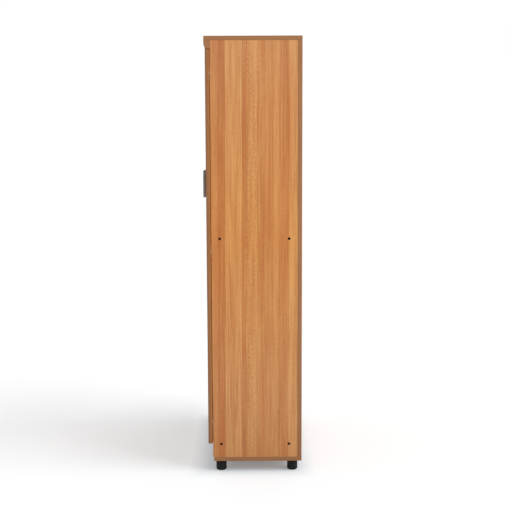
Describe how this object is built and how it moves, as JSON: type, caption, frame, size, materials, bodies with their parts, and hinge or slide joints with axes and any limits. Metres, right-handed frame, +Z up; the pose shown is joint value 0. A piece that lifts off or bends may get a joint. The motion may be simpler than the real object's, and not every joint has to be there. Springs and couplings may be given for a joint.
{
  "type": "wardrobe",
  "caption": "Tall free-standing wardrobe in wood-grain laminated board, with hinged doors, bar handles, a cornice, shelves, a hanging rail and round feet.",
  "frame": {"origin": "on the floor under the middle of the whole object's box", "axes": "+Z up, -Y to the front where the doors are, +X to the right seen from the front"},
  "size_m": [0.8, 0.4414, 1.9],
  "materials": {
    "wood_laminate": "satin wood-grain laminate in vertical staves",
    "brown_edging": "satin brown wood-grain foil",
    "zinc_steel": "bright zinc plate",
    "brushed_nickel": "satin grey metal",
    "black_plastic": "matt black moulded",
    "clear_pad": "soft clear pad",
    "dark_screw": "dark bronze plate"
  },
  "bodies": {
    "case": {"top_board": "wood_laminate", "bottom_board": "wood_laminate", "back_board": "wood_laminate", "side_left": "wood_laminate", "side_right": "wood_laminate", "plinth": "wood_laminate", "bottom_shelf": "wood_laminate", "divider": "wood_laminate", "mid_shelf": "wood_laminate", "hat_shelf": "wood_laminate", "shelf_lower": "wood_laminate", "shelf_upper": "wood_laminate", "cornice": "brown_edging", "hanging_rail": "zinc_steel", "rail_socket_left": "zinc_steel", "rail_socket_middle": "zinc_steel", "hinge_arm_left_1": "zinc_steel", "hinge_arm_left_2": "zinc_steel", "hinge_arm_left_3": "zinc_steel", "foot_front_left": "black_plastic", "foot_rear_left": "black_plastic", "hinge_arm_right_1": "zinc_steel", "hinge_arm_right_2": "zinc_steel", "hinge_arm_right_3": "zinc_steel", "foot_front_right": "black_plastic", "foot_rear_right": "black_plastic", "shelf_lower_pin_1": "zinc_steel", "shelf_lower_pin_2": "zinc_steel", "shelf_lower_pin_3": "zinc_steel", "shelf_lower_pin_4": "zinc_steel", "shelf_upper_pin_1": "zinc_steel", "shelf_upper_pin_2": "zinc_steel", "shelf_upper_pin_3": "zinc_steel", "shelf_upper_pin_4": "zinc_steel", "screw_right_bottom_shelf_front": "dark_screw", "screw_right_bottom_shelf_rear": "dark_screw", "screw_right_mid_shelf_front": "dark_screw", "screw_right_mid_shelf_rear": "dark_screw", "screw_left_bottom_shelf_front": "dark_screw", "screw_left_bottom_shelf_rear": "dark_screw", "screw_left_hat_shelf_front": "dark_screw", "screw_left_hat_shelf_rear": "dark_screw"},
    "door_left": {"door_left": "wood_laminate", "handle_left": "brushed_nickel", "handle_screw_left_upper": "zinc_steel", "handle_screw_left_lower": "zinc_steel", "hinge_cup_left_1": "zinc_steel", "hinge_cup_left_2": "zinc_steel", "hinge_cup_left_3": "zinc_steel", "door_pad_left_upper": "clear_pad", "door_pad_left_lower": "clear_pad"},
    "door_right": {"door_right": "wood_laminate", "handle_right": "brushed_nickel", "handle_screw_right_upper": "zinc_steel", "handle_screw_right_lower": "zinc_steel", "hinge_cup_right_1": "zinc_steel", "hinge_cup_right_2": "zinc_steel", "hinge_cup_right_3": "zinc_steel", "door_pad_right_upper": "clear_pad", "door_pad_right_lower": "clear_pad"}
  },
  "joints": [
    {"name": "door_left_swing", "type": "hinge", "parent": "case", "child": "door_left", "pos_m": [-0.391, -0.1841, 0.98775], "axis": [0, 0, -1], "range_deg": [0, 95]},
    {"name": "door_right_swing", "type": "hinge", "parent": "case", "child": "door_right", "pos_m": [0.391, -0.1841, 0.98775], "axis": [0, 0, 1], "range_deg": [0, 95]}
  ]
}
